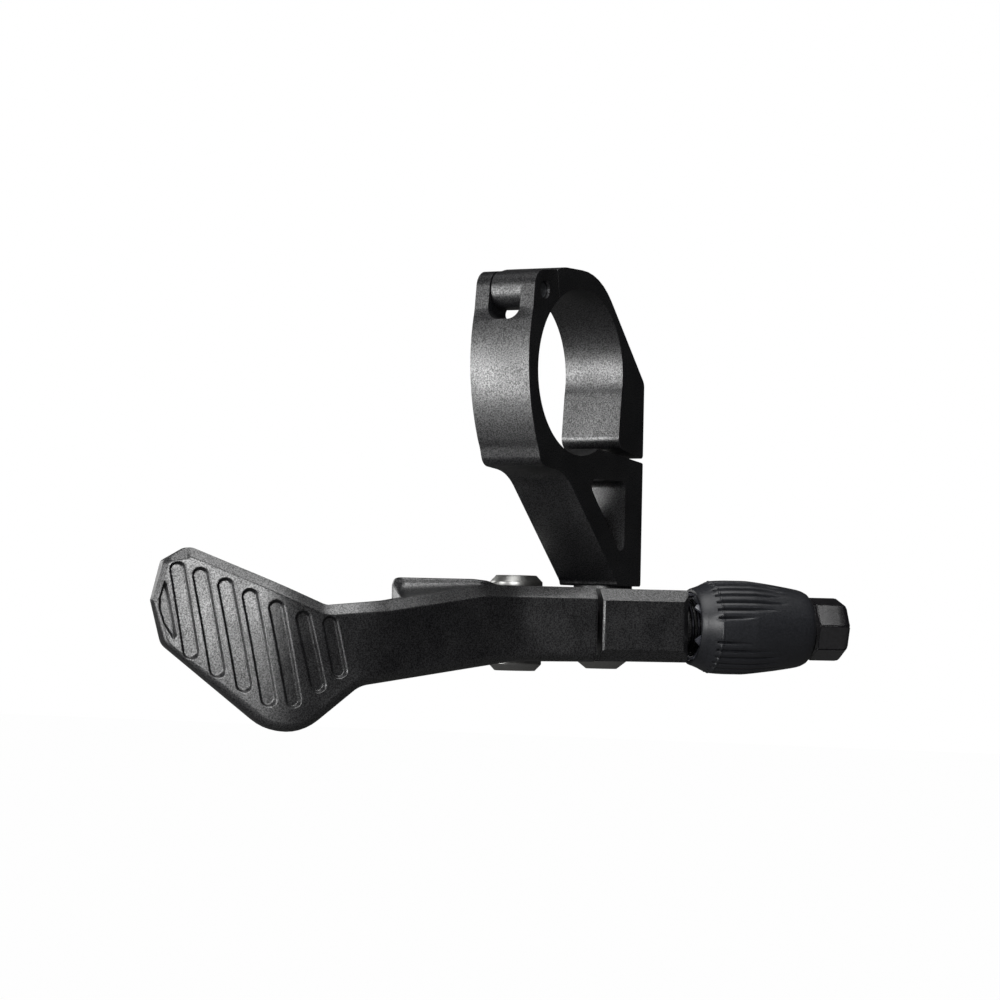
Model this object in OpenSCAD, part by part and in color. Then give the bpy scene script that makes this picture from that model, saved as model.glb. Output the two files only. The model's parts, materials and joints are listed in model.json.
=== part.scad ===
// Thumb lever remote for a dropper seatpost, left hand, under the handlebar.
// Millimetres. Origin at the centre of the handlebar bore, +X along the bar
// toward the stem, +Y forward away from the rider, +Z up.

/* [Handlebar clamp] */
// Handlebar diameter at the grip end
bar_d = 22.2; // [20:0.1:32]
// Wall of the band round the bar
band_wall = 2.4; // [1.8:0.1:4]
// Width of the clamp along the bar
clamp_width = 9; // [7:0.1:16]
// Hinge pin diameter
pin_d = 2.4; // [1.5:0.1:4]
// Outer radius of the hinge knuckle
knuckle_r = 2.4; // [2:0.1:4]
// Width of the slot between the two fork ears
slot_width = 4.9; // [3:0.1:8]
// Clamp screw thread diameter
clamp_screw_d = 3; // [2.5:0.5:4]
// Height of the screw head's seat above the split of the clamp
seat_rise = 8; // [5:0.1:10]
// Lean of the clamp screw away from the rider, degrees
clamp_lean = 3; // [0:0.5:8]

/* [Base arm] */
// Drop from the underside of the bar to the foot
foot_drop = 17.1; // [12:0.1:28]
// Length of the foot across the bar
foot_length = 6.5; // [5.5:0.1:12]
// Rider side of the foot, back from the front of the bar
foot_back = 0.5; // [0:0.1:3]
// Metal between the triangular pocket and the front of the arm
pocket_wall = 4.7; // [3:0.1:6]
// Metal between the bore and the triangular pocket
pocket_roof = 2.9; // [2.4:0.1:5]
// Corner radius of the triangular pocket
pocket_r = 1; // [0.5:0.1:2]

/* [Lever body] */
// Turn of the cable line away from the bar axis, degrees
body_yaw = 49; // [30:1:70]
// Height of the body
body_height = 9.8; // [8:0.1:14]
// Height of the round seat under the foot
seat_height = 0.4; // [0.2:0.1:1]
// Length of the body block on the inboard side of the mount screw
block_reach = 9.6; // [8:0.1:16]
// Length of the body block on the outboard side of the mount screw
block_back = 2.9; // [2:0.1:4]
// Distance from the cable line to the front face
front_offset = 5; // [4.5:0.1:7]
// Chamfer along the front edges
front_chamfer = 1.6; // [0.5:0.1:2.2]
// Chamfer on the inboard front corner
end_chamfer = 0.9; // [0.4:0.1:1.6]
// Distance from the cable line to the mount screw
mount_offset = 3.9; // [3.6:0.1:6]
// Mount screw thread diameter
mount_screw_d = 4; // [3:0.5:5]

/* [Pivot] */
// Distance from the mount screw back to the pivot along the cable line
pivot_back = 11.6; // [10:0.1:16]
// Distance from the cable line to the pivot
pivot_offset = 6.5; // [5:0.1:9]
// Pivot bolt shoulder diameter
pivot_d = 5; // [4:0.1:6]
// Pivot bolt head diameter
pivot_head_d = 7.2; // [6:0.1:9]
// Height of each pivot bolt head
pivot_head_h = 1.5; // [1:0.1:2.5]
// Radius of the tongue end round the pivot
tongue_r = 4.7; // [4.2:0.1:6]
// Thickness of the tongue
tongue_t = 3.2; // [2.4:0.1:4]
// Running clearance of the pivot and its bush
run_gap = 0.04; // [0.02:0.01:0.1]
// Wire diameter of the return spring
spring_wire = 0.7; // [0.5:0.05:0.9]
// Turns of the return spring
spring_turns = 2; // [1:1:3]

/* [Thumb lever] */
// Height of the lever walls at the pivot
lever_height = 10; // [9:0.1:14]
// Thickness of the wall above the tongue
upper_wall = 1.8; // [1.2:0.1:3]
// Thickness of the wall below the tongue
lower_wall = 1.6; // [1.2:0.1:3]
// Thickness of the web in front of the tongue
web_t = 2.2; // [1.4:0.1:3]
// Gap between the end of the lever and the body block
end_gap = 0.8; // [0.4:0.1:1.5]
// Thickness of the paddle
paddle_t = 3.8; // [3:0.1:6]
// Thickness of the arm at its root
arm_t = 6.8; // [5:0.1:9]
// Fillet round the front edge of the paddle
paddle_fillet = 1.2; // [0.4:0.1:1.6]
// Width of each thumb groove
groove_w = 2.1; // [1.2:0.1:2.4]
// Depth of each thumb groove
groove_depth = 0.6; // [0.2:0.1:1]
// Cable clamp screw thread diameter
anchor_d = 4; // [3:0.5:5]

/* [Barrel adjuster] */
// Outer diameter of the nose on the body
nose_d = 6.8; // [6.4:0.1:9]
// Length of the nose
nose_length = 8; // [6:0.1:12]
// Barrel thread diameter
thread_d = 5; // [4:0.1:6]
// Running clearance of the barrel thread
thread_gap = 0.05; // [0.02:0.01:0.1]
// Largest diameter of the grip sleeve
sleeve_d = 12.9; // [11:0.1:16]
// Length of the grip sleeve
sleeve_length = 16.9; // [14:0.1:24]
// Number of grip ribs round each half of the sleeve
rib_count = 6; // [3:1:8]
// Diameter of the fluted barrel end
barrel_end_d = 8.8; // [8:0.1:12]
// Length of the fluted barrel end past the sleeve
barrel_end_length = 5.3; // [4:0.1:12]
// Number of flutes on the barrel end
flute_count = 6; // [4:1:10]
// Cable housing diameter
housing_d = 5; // [4:0.1:5.5]
// Cable bore diameter
cable_d = 2; // [1.6:0.1:2.5]

/* [Hidden] */
bar_r = bar_d / 2;
band_r = bar_r + band_wall;
foot_start = bar_r - foot_back;
cut = 40;
eps = 0.01;
fit_gap = 0.02;
arc_step = 9;

// Hinge of the jaw, just outside the bar on the rider's side of the top
hinge_angle = 133.8;
hinge_radius = bar_r + 3;
hinge_y = hinge_radius * cos(hinge_angle);
hinge_z = hinge_radius * sin(hinge_angle);
hinge_gap = 0.15;
seam_low = [-0.55 * bar_r, 0.811 * bar_r];
seam_top = [seam_low[0] - 0.7, band_r - 0.4];
slot_r = 1.7;
slot_floor = 6.2;
thread_fit = 0.02;

// Underside of the band: metal below the bore, bend into the arm, heel at the rider's side
under_wall = 2.3;
arm_bend_r = 7;
heel_in = 1.2;
heel_drop = 1.7;
heel_r = 1.8;

// Triangular pocket, its length across the bar and its low corner above the foot
pocket_length = 10.4;
pocket_floor = 3.3;

// Clamp screw line, through the lug ahead of the bar
foot_end = foot_start + foot_length;
screw_y = foot_end - 2.7;
lug_corner_z = -0.4;
split_z = -bar_r + 0.1;
split_out_z = -bar_r - 0.2;
split_gap = 0.5;
clamp_screw_r = clamp_screw_d / 2;
clamp_head_r = clamp_screw_r + 1.1;
clamp_head_h = clamp_screw_d * 0.9;
clamp_thread = 6;
swing_slot = 0.6;
swing_head = 0.4;
screw_clear = 0.25;

// Mount screw and the line of the foot
mount_y = foot_end - 2.5;
mount_r = mount_screw_d / 2;
foot_z = -bar_r - foot_drop;
mount_screw_top = foot_z + 6;
mount_head_r = mount_screw_d * 0.875;
mount_head_h = 1.1;
mount_socket_h = 1.6;

// Heights of the body and the lever round the pivot
body_top = foot_z - seat_height;
body_bottom = body_top - body_height;
body_mid = body_top - body_height / 2;
lever_top = foot_z - 0.3;
lever_bottom = lever_top - lever_height;
channel_top = lever_top - upper_wall;
channel_bottom = lever_bottom + lower_wall;
washer_t = 0.4;
stack_gap = 0.05;
tongue_top = channel_top - washer_t - 2 * stack_gap;
tongue_bottom = tongue_top - tongue_t;
pivot_r = pivot_d / 2;
bush_wall = 0.7;
bush_r = pivot_r + run_gap + bush_wall;
bush_bottom = channel_bottom + washer_t + 2 * stack_gap;
stud_r = pivot_r - 1;
hole_r = spring_wire / 2 + 0.1;
seat_r = 4;
far_side = pivot_offset + tongue_r;

// Return spring, wound below the tongue
coil_r = bush_r + 0.15 + spring_wire / 2;
coil_top = tongue_bottom - 0.05 - spring_wire / 2;
coil_bottom = bush_bottom + 0.05 + spring_wire / 2;
wire_sides = 8;
leg_in_angle = 315;
leg_in_length = 5;
leg_out_angle = 276;
leg_out_length = 6;
leg_hook = 1.5;
leg_in = [
    coil_r * cos(leg_in_angle) - leg_in_length * sin(leg_in_angle),
    coil_r * sin(leg_in_angle) + leg_in_length * cos(leg_in_angle)
];

// Thumb lever, seen from the rider: [along the cable line, up], corner radius
lever_end = -block_back - end_gap;
web_gap = 1.5;
web_start = -pivot_back - tongue_r - web_gap;
wall_reach = pivot_head_d / 2 + 1.2;
tip_s = -64.7;
tip_z = -31.5;
top_corners = [
    [tip_s, tip_z, 0], [-63.4, -26.4, 0.8], [-60.2, -24.4, 1.6],
    [-42.6, -31.7, 3], [-34, -30.9, 8], [-20, lever_top, 6],
    [lever_end, lever_top, 0]
];
bottom_corners = [
    [tip_s, tip_z, 0], [-63.1, -37.2, 2.5], [-47.6, -50.1, 6.5],
    [-37.9, -42.1, 4], [-15, lever_bottom - 0.1, 8],
    [lever_end, lever_bottom, 0]
];
// The front of the lever seen from above: [along the cable line, forward]
front_corners = [
    [tip_s - 1, -6.2, 0], [-49, -11.8, 16], [-37, -11.4, 14],
    [-15, -front_offset, 3], [lever_end, -front_offset, 0]
];
// Thickness behind the front along the cable line
thickness_steps = [
    [tip_s, paddle_t * 0.7], [-63, paddle_t], [-44, paddle_t + 0.4],
    [-37, arm_t - 1.6], [-28, arm_t], [web_start, arm_t],
    [web_start + 0.4, web_t], [lever_end, web_t]
];
// Fillet of the front edges along the cable line
fillet_steps = [
    [tip_s, paddle_fillet], [-40, paddle_fillet],
    [-22, front_chamfer - 0.1], [lever_end, front_chamfer - 0.1]
];
back_fillet = 0.7;
tip_round = 1.1;
station_fine = 0.5;
station_coarse = 1.1;
fine_until = -57;

// Thumb grooves: [along, up] of the upper and lower round end
grooves = [
    [[-61.7, -27.5], [-59.9, -38]], [[-58.9, -28.2], [-56.6, -40.3]],
    [[-55.8, -29.5], [-53.3, -42.1]], [[-52.8, -30.8], [-50.2, -43.9]],
    [[-49.5, -32.2], [-47, -44]], [[-46, -33.5], [-43.8, -42]],
    [[-42.4, -34.1], [-41, -40.1]]
];
grooves_end = -38;
grooves_low = -52;
grooves_high = -22;
groove_step = 0.9;
// The short leaf-shaped groove beside the tip
leaf_groove = [
    [-63.2, -28.4, 0.3], [-62.5, -29.2, 0.5], [-61, -36.9, 0.3],
    [-62, -36.6, 0.4], [-63.4, -32, 3]
];

// Cable clamp on the far side of the arm
anchor_s = -24.3;
anchor_z = body_mid - 0.2;
anchor_r = anchor_d / 2;
anchor_head_r = anchor_d * 0.875;
anchor_head_h = 2.4;
anchor_face = -0.6;
anchor_depth = 6;
anchor_plate_r = 4.4;
anchor_plate_t = 0.9;
boss_left = -30.9;
boss_right = -17.6;
boss_depth = 4;
boss_top = lever_top + 0.75;

// Barrel adjuster along the cable line
nose_r = nose_d / 2;
nose_end = block_reach + nose_length;
thread_r = thread_d / 2;
barrel_r = thread_r - thread_gap;
thread_start = block_reach - 5.6;
stem_start = thread_start + 0.6;
cable_r = cable_d / 2;
ring_start = block_reach + 2.2;
ring_t = 1.6;
ring_end = ring_start + ring_t;
ring_gap = 0.1;
slide_gap = 0.06;
sleeve_start = ring_start - 0.5;
sleeve_end = sleeve_start + sleeve_length;
sleeve_r = sleeve_d / 2;
mouth_r = ring_outer() + 0.3;
collar_r = nose_r + 0.5;
collar_start = nose_end + 0.4;
barrel_end = sleeve_end + barrel_end_length;
barrel_end_r = barrel_end_d / 2;
housing_r = housing_d / 2;
housing_depth = 9.5;
rib_depth = 0.45;
rib_width = 0.55;
oring_wire = 0.7;
oring_groove = 0.6;
oring_s = collar_start - 1.2;
oring_seat_r = barrel_r - oring_groove + oring_wire + 0.07;
detent_wire = 0.5;

// Points of a rounded outline: each corner is [x, y, radius], ends stay as they are
function unit(v) = v / norm(v);
function flat(p) = [p[0], p[1]];
function corner_arc(a, b, c) =
    let (
        u = unit(flat(a) - flat(b)),
        w = unit(flat(c) - flat(b)),
        half = acos(max(-1, min(1, u * w))) / 2,
        reach = b[2] / tan(half),
        from = flat(b) + u * reach,
        centre = flat(b) + unit(u + w) * (b[2] / sin(half)),
        start = from - centre,
        turn = (180 - 2 * half) * (u[0] * w[1] - u[1] * w[0] > 0 ? -1 : 1),
        steps = max(2, ceil(abs(turn) / arc_step))
    )
    [for (i = [0 : steps])
        centre + [
            start[0] * cos(turn * i / steps) - start[1] * sin(turn * i / steps),
            start[0] * sin(turn * i / steps) + start[1] * cos(turn * i / steps)
        ]];
function corner(a, b, c) = b[2] <= 0 ? [flat(b)] : corner_arc(a, b, c);
function closed_path(p) =
    let (n = len(p))
    [for (i = [0 : n - 1]) for (q = corner(p[(i + n - 1) % n], p[i], p[(i + 1) % n])) q];
function open_path(p) =
    let (n = len(p))
    [for (i = [0 : n - 1])
        for (q = (i == 0 || i == n - 1) ? [flat(p[i])] : corner(p[i - 1], p[i], p[i + 1])) q];

module outline(p) {
    polygon(closed_path(p));
}

// A profile drawn in (forward, up) and given a width along the bar
module across_bar(width) {
    rotate([90, 0, 90]) linear_extrude(width, center = true) children();
}

// The lever frame: along the cable line, away from the rider, up
module on_lever_frame() {
    translate([0, mount_y, 0])
        rotate([0, 0, body_yaw])
            translate([0, -mount_offset, 0])
                children();
}

module at_pivot() {
    on_lever_frame() translate([-pivot_back, pivot_offset, 0]) children();
}

// Turns a revolved profile from its own axis onto the cable line
module on_cable_line() {
    on_lever_frame() translate([0, 0, body_mid]) rotate([0, 90, 0]) children();
}

// A closed skin over rings of points with the same count
module skin(rings) {
    n = len(rings);
    m = len(rings[0]);
    points = [for (r = rings) for (p = r) p];
    sides = [for (i = [0 : n - 2]) for (j = [0 : m - 1])
        each [
            [i * m + j, (i + 1) * m + j, (i + 1) * m + (j + 1) % m],
            [i * m + j, (i + 1) * m + (j + 1) % m, i * m + (j + 1) % m]
        ]];
    first = [for (j = [1 : m - 2]) [0, j, j + 1]];
    last = [for (j = [1 : m - 2]) [(n - 1) * m, (n - 1) * m + j + 1, (n - 1) * m + j]];
    polyhedron(points, concat(sides, first, last));
}

// Handlebar clamp

module base_profile() {
    difference() {
        outline([
            [foot_end, split_out_z, 0.3], [foot_end, foot_z, 0.4],
            [foot_start, foot_z, 0.4], [foot_start - 0.1, foot_z + 0.6, 1],
            [-0.34 * bar_r, -bar_r - under_wall, arm_bend_r],
            [heel_in - bar_r, -bar_r - heel_drop, heel_r],
            [-band_r, -0.2 * bar_r, band_r - 0.2], [-band_r, 0.068 * bar_r, band_r - 0.2],
            [hinge_y - knuckle_r, hinge_z + knuckle_r, knuckle_r - 0.1],
            [seam_top[0], seam_top[1], 0.2], [seam_low[0], seam_low[1], 0],
            [0, 0, 0], [0.36 * bar_r, -bar_r + 1.3, 0]
        ]);
        circle(r = bar_r, $fn = 180);
    }
}

module pocket_profile() {
    outline([
        [foot_end - pocket_wall - pocket_length, -bar_r - pocket_roof, pocket_r],
        [foot_end - pocket_wall, -bar_r - pocket_roof, pocket_r],
        [foot_end - pocket_wall, foot_z + pocket_floor, pocket_r]
    ]);
}

module clamp_base() {
    color("#26272b")
    difference() {
        across_bar(clamp_width) base_profile();
        // slot between the ears for the jaw's knuckle, round at the floor
        translate([0, -bar_r, 0])
            rotate([90, 0, 0])
                linear_extrude(16, center = true)
                    outline([
                        [slot_width / 2, slot_floor, slot_r], [slot_width / 2, cut, 0],
                        [-slot_width / 2, cut, 0], [-slot_width / 2, slot_floor, slot_r]
                    ]);
        across_bar(clamp_width + 2) pocket_profile();
        translate([0, hinge_y, hinge_z])
            rotate([0, 90, 0])
                cylinder(d = pin_d, h = clamp_width + 2, center = true, $fn = 48);
        // threads for the clamp screw and the mount screw
        on_clamp_screw() translate([0, 0, -clamp_thread - 0.7])
            cylinder(r = clamp_screw_r, h = cut, $fn = 48);
        translate([0, mount_y, foot_z - 1])
            cylinder(d = mount_screw_d, h = mount_screw_top - foot_z + 1.6, $fn = 48);
    }
}

// The clamp screw's line: zero at the split, up toward the head
module on_clamp_screw() {
    translate([0, screw_y, split_z]) rotate([-clamp_lean, 0, 0]) children();
}

module jaw_profile() {
    difference() {
        outline([
            [seam_top[0] + hinge_gap, seam_top[1], 0.2], [-0.43 * bar_r, band_r + 0.1, 4],
            [0.41 * bar_r, band_r + 0.1, 0.95 * bar_r], [foot_end, lug_corner_z, 1.5],
            [foot_end, split_out_z + split_gap, 0.5], [bar_r - 0.9, split_out_z + 1.9, 1.6],
            [bar_r - 0.15, -1.2, 0], [0.54 * bar_r, 0, 0], [-0.4 * bar_r, 0.6 * bar_r, 0],
            [seam_low[0] + hinge_gap, seam_low[1], 0]
        ]);
        circle(r = bar_r, $fn = 180);
    }
}

module knuckle_profile() {
    difference() {
        outline([
            [hinge_y - knuckle_r, hinge_z - knuckle_r, knuckle_r - 0.1],
            [hinge_y - knuckle_r, hinge_z + knuckle_r, knuckle_r - 0.1],
            [seam_top[0], seam_top[1], 0], [seam_top[0] + 2, seam_top[1] - 0.6, 0],
            [seam_low[0] + 2, seam_low[1], 0], [hinge_y + knuckle_r, hinge_z - knuckle_r, 0.5]
        ]);
        circle(r = bar_r, $fn = 180);
    }
}

module clamp_jaw() {
    color("#2b2c31")
    difference() {
        union() {
            across_bar(clamp_width) jaw_profile();
            across_bar(slot_width - 2 * hinge_gap) knuckle_profile();
        }
        translate([0, hinge_y, hinge_z])
            rotate([0, 90, 0])
                cylinder(d = pin_d + 2 * run_gap, h = clamp_width + 2, center = true, $fn = 48);
        // clearance hole, long enough toward the bar for the jaw to swing
        on_clamp_screw() {
            for (y = [-swing_slot, 0])
                translate([0, y, -3])
                    cylinder(r = clamp_screw_r + screw_clear, h = cut, $fn = 48);
            translate([-clamp_screw_r - screw_clear, -swing_slot, -3])
                cube([clamp_screw_d + 2 * screw_clear, swing_slot, cut]);
            // head pocket, open to the front of the lug
            translate([0, -swing_head, seat_rise])
                cylinder(r = clamp_head_r + screw_clear, h = cut, $fn = 64);
            translate([-clamp_head_r - screw_clear, -swing_head, seat_rise])
                cube([2 * (clamp_head_r + screw_clear), cut, cut]);
        }
    }
}

module hinge_pin() {
    length = clamp_width - 0.8;
    color("#b9bcc0")
    translate([0, hinge_y, hinge_z])
        rotate([0, 90, 0])
            rotate_extrude($fn = 48)
                polygon([
                    [0, -length / 2], [pin_d / 2 - 0.25, -length / 2],
                    [pin_d / 2, -length / 2 + 0.25], [pin_d / 2, length / 2 - 0.25],
                    [pin_d / 2 - 0.25, length / 2], [0, length / 2]
                ]);
}

// A socket screw standing on its thread: head up, seat at the origin
module socket_screw(r, head_r, head_h, length, edge, socket) {
    difference() {
        rotate_extrude($fn = 64)
            polygon([
                [0, -length], [r - 0.4, -length], [r, -length + 0.4], [r, 0],
                [head_r, 0], [head_r, head_h - edge], [head_r - edge, head_h], [0, head_h]
            ]);
        translate([0, 0, head_h - socket])
            cylinder(r = r * 0.72, h = socket + 1, $fn = 6);
    }
}

module clamp_bolt() {
    color("#c4c7cb")
    on_clamp_screw() translate([0, 0, seat_rise])
        socket_screw(clamp_screw_r - thread_fit, clamp_head_r, clamp_head_h,
            seat_rise + clamp_thread, 0.3, clamp_head_h * 0.65);
}

// Lever body

module block_profile() {
    outline([
        [-block_back, -front_offset, 0.4],
        [block_reach - end_chamfer, -front_offset, 0.2],
        [block_reach, -front_offset + end_chamfer, 0.2],
        [block_reach, nose_r + 1.2, 1.5], [3.5, far_side - 0.6, 3],
        [-block_back, far_side - 0.6, 0.6]
    ]);
}

module tongue_profile() {
    outline([
        [0, pivot_offset - tongue_r - 0.4, 0],
        [-pivot_back - tongue_r, pivot_offset - tongue_r, tongue_r - 0.3],
        [-pivot_back - tongue_r, far_side, tongue_r - 0.3],
        [0, far_side - 1, 0]
    ]);
}

// Wedge that takes a chamfer off the lower edge of a face that looks toward the rider
module edge_cut(size) {
    rotate([90, 0, 90])
        linear_extrude(2 * cut, center = true)
            polygon([[-1, -1], [size + 1, -1], [-1, size + 1]]);
}

module lever_body() {
    stop_depth = front_offset - web_t - 0.05;
    stop_height = 3.6;
    color("#232428")
    difference() {
        union() {
            on_lever_frame() {
                difference() {
                    translate([0, 0, body_bottom])
                        linear_extrude(body_height) block_profile();
                    // chamfers along the front and far edges, above and below
                    for (up = [0, 1])
                        translate([0, 0, body_mid])
                            mirror([0, 0, up]) {
                                translate([0, -front_offset, -body_height / 2])
                                    edge_cut(front_chamfer);
                                translate([0, far_side - 0.6, -body_height / 2])
                                    mirror([0, 1, 0]) edge_cut(front_chamfer / 2);
                            }
                }
                translate([0, 0, tongue_bottom])
                    linear_extrude(tongue_t) tongue_profile();
                // lug that the lever's web rests against
                translate([-block_back - 3, -stop_depth, body_mid - stop_height / 2])
                    cube([4, pivot_offset, stop_height]);
                translate([0, mount_offset, body_top - eps])
                    cylinder(r = seat_r, h = seat_height + eps, $fn = 72);
            }
            on_cable_line()
                rotate_extrude($fn = 72)
                    polygon([
                        [0, block_reach - 1], [nose_r, block_reach - 1],
                        [nose_r, nose_end - 0.5], [nose_r - 0.5, nose_end], [0, nose_end]
                    ]);
        }
        // barrel thread, then the cable bore out through the tongue side
        on_cable_line() {
            translate([0, 0, thread_start])
                cylinder(r = thread_r, h = cut, $fn = 48);
            translate([0, 0, oring_s - oring_wire])
                cylinder(r = oring_seat_r, h = cut, $fn = 48);
            translate([0, 0, -cut])
                cylinder(r = cable_r, h = cut + thread_start + eps, $fn = 32);
        }
        on_lever_frame() translate([0, mount_offset, body_bottom - 1])
            cylinder(r = mount_r + screw_clear, h = cut, $fn = 48);
        at_pivot() translate([0, 0, tongue_bottom - 1])
            cylinder(r = bush_r + fit_gap, h = tongue_t + 2, $fn = 64);
        // hole for the hooked end of the return spring
        at_pivot() translate([leg_in[0], leg_in[1], tongue_bottom - 1])
            cylinder(r = hole_r, h = leg_hook + 1.3, $fn = 24);
    }
}

module mount_bolt() {
    color("#c4c7cb")
    translate([0, mount_y, body_bottom])
        mirror([0, 0, 1])
            difference() {
                rotate_extrude($fn = 64)
                    polygon([
                        [0, body_bottom - mount_screw_top],
                        [mount_r - 0.4, body_bottom - mount_screw_top],
                        [mount_r, body_bottom - mount_screw_top + 0.4], [mount_r, 0],
                        [mount_head_r, 0], [mount_head_r * 0.6, mount_head_h], [0, mount_head_h]
                    ]);
                translate([0, 0, mount_head_h - mount_socket_h])
                    cylinder(r = mount_r * 0.62, h = cut, $fn = 6);
            }
}

// Pivot

module pivot_bolt() {
    color("#c8cacd")
    at_pivot()
        difference() {
            rotate_extrude($fn = 72)
                polygon([
                    [stud_r + fit_gap, lever_bottom + 0.3], [pivot_r - 0.2, lever_bottom + 0.3],
                    [pivot_r, lever_bottom + 0.5], [pivot_r, lever_top],
                    [pivot_head_d / 2, lever_top],
                    [pivot_head_d / 2, lever_top + pivot_head_h - 0.9],
                    [pivot_head_d / 2 - 0.85, lever_top + pivot_head_h],
                    [0, lever_top + pivot_head_h], [0, channel_top],
                    [stud_r + fit_gap, channel_top]
                ]);
            translate([0, 0, lever_top + 0.1])
                cylinder(r = 1.45, h = cut, $fn = 6);
        }
}

module pivot_nut() {
    color("#c8cacd")
    at_pivot()
        difference() {
            rotate_extrude($fn = 72)
                polygon([
                    [0, lever_bottom - pivot_head_h],
                    [pivot_head_d / 2 - 0.85, lever_bottom - pivot_head_h],
                    [pivot_head_d / 2, lever_bottom - pivot_head_h + 0.9],
                    [pivot_head_d / 2, lever_bottom], [stud_r, lever_bottom],
                    [stud_r, channel_top - 1], [0, channel_top - 1]
                ]);
            translate([0, 0, lever_bottom - pivot_head_h - 1])
                cylinder(r = 1.1, h = 2.4, $fn = 6);
        }
}

module ring_solid(inner, outer, bottom, top) {
    rotate_extrude($fn = 72)
        translate([inner, bottom]) square([outer - inner, top - bottom]);
}

module pivot_bush() {
    color("#b08a4a")
    at_pivot() ring_solid(pivot_r + run_gap, bush_r, bush_bottom, tongue_top);
}

module thrust_washer_upper() {
    color("#e6e2d6")
    at_pivot()
        ring_solid(pivot_r + run_gap, tongue_r - 0.5,
            tongue_top + stack_gap, channel_top - stack_gap);
}

module thrust_washer_lower() {
    color("#e6e2d6")
    at_pivot()
        ring_solid(pivot_r + run_gap, tongue_r - 0.3,
            channel_bottom + stack_gap, bush_bottom - stack_gap);
}

// A ring of points round a wire, in the plane of two square directions
function wire_ring(centre, side, up, r) =
    [for (k = [0 : wire_sides - 1])
        centre + r * (side * cos(360 * k / wire_sides) + up * sin(360 * k / wire_sides))];

// Wound so that the lever's push closes the coil, hooked end up in the tongue
module return_spring() {
    up = [0, 0, 1];
    spin = 360 * spring_turns + leg_in_angle - leg_out_angle;
    steps = 20 * spring_turns;
    rise = coil_top - coil_bottom;
    r = spring_wire / 2;
    function out(a) = [cos(a), sin(a), 0];
    function run(a) = [sin(a), -cos(a), 0];
    bend = [leg_in[0], leg_in[1], coil_top];
    last = leg_in_angle - spin;
    in_dir = run(leg_in_angle);
    color("#a9adb2")
    at_pivot()
        skin(concat(
            [wire_ring(bend + leg_hook * up, out(leg_in_angle), in_dir, r)],
            [wire_ring(bend, out(leg_in_angle), in_dir + up, r)],
            [for (i = [0 : steps])
                let (a = leg_in_angle - spin * i / steps)
                wire_ring(coil_r * out(a) + (coil_top - rise * i / steps) * up, out(a), up, r)],
            [wire_ring(coil_r * out(last) + coil_bottom * up + leg_out_length * run(last),
                out(last), up, r)]
        ));
}

// Thumb lever

top_path = open_path(top_corners);
bottom_path = open_path(bottom_corners);
front_path = open_path(front_corners);

function top_at(s) = lookup(s, top_path);
function bottom_at(s) = lookup(s, bottom_path);
function front_at(s) = lookup(s, front_path);

// How far the front falls back over the last stretch before the tip
function tip_fall(s) =
    let (d = s - tip_s)
    d > tip_round ? 0 : tip_round - sqrt(max(0, tip_round * tip_round - pow(tip_round - d, 2)));

function lever_ring(s) =
    let (
        front = front_at(s) + tip_fall(s),
        back = front_at(s) + lookup(s, thickness_steps),
        top = top_at(s),
        low = bottom_at(s),
        f = min(lookup(s, fillet_steps), (top - low) / 2 - 0.05),
        b = min(back_fillet, f),
        h = f * 0.293,
        k = b * 0.293
    )
    [
        [s, front, low + f], [s, front + h, low + h], [s, front + f, low],
        [s, back - b, low], [s, back - k, low + k], [s, back, low + b],
        [s, back, top - b], [s, back - k, top - k], [s, back - b, top],
        [s, front + f, top], [s, front + h, top - h], [s, front, top - f]
    ];

stations = concat(
    [for (s = [tip_s + 0.06, tip_s + 0.2, tip_s + 0.4]) s],
    [for (s = [tip_s + 0.7 : station_fine : fine_until]) s],
    [for (s = [fine_until + 0.6 : station_coarse : web_start - 0.6]) s],
    [web_start, web_start + 0.4, -15, lever_end]
);

module lever_skin() {
    skin([for (s = stations) lever_ring(s)]);
}

module lever_outline_from_rider(p) {
    // drawn as [along, up], then run away from the rider
    translate([0, cut / 2, 0]) rotate([90, 0, 0]) linear_extrude(2 * cut) polygon(p);
}

module groove_shapes() {
    for (g = grooves) {
        dir = unit(g[1] - g[0]);
        side = [dir[1], -dir[0]] * groove_w / 2;
        ends = [g[0] - dir * groove_w / 2, g[1] + dir * groove_w / 2];
        lever_outline_from_rider(closed_path([
            [ends[0][0] + side[0], ends[0][1] + side[1], groove_w / 2 - eps],
            [ends[0][0] - side[0], ends[0][1] - side[1], groove_w / 2 - eps],
            [ends[1][0] - side[0], ends[1][1] - side[1], groove_w / 2 - eps],
            [ends[1][0] + side[0], ends[1][1] + side[1], groove_w / 2 - eps]
        ]));
    }
    lever_outline_from_rider(closed_path(leaf_groove));
}

// The layer that the thumb grooves take off the front
module groove_layer() {
    open = paddle_t;
    skin([for (s = [tip_s + 0.3 : groove_step : grooves_end])
        let (floor = front_at(s) + groove_depth)
        [
            [s, floor - open, grooves_low], [s, floor, grooves_low],
            [s, floor, grooves_high], [s, floor - open, grooves_high]
        ]]);
}

module wall_profile() {
    outline([
        [lever_end, -front_offset + front_chamfer, 0.3],
        [lever_end, -front_offset + web_t + 0.6, 1],
        [-pivot_back + wall_reach, pivot_offset - 2, 3],
        [-pivot_back + wall_reach, pivot_offset + wall_reach, wall_reach - 0.2],
        [-pivot_back - wall_reach, pivot_offset + wall_reach, wall_reach - 0.2],
        [web_start - 2.5, anchor_face - 0.4, 3],
        [web_start - 2.5, -front_offset + front_chamfer, 0]
    ]);
}

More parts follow.
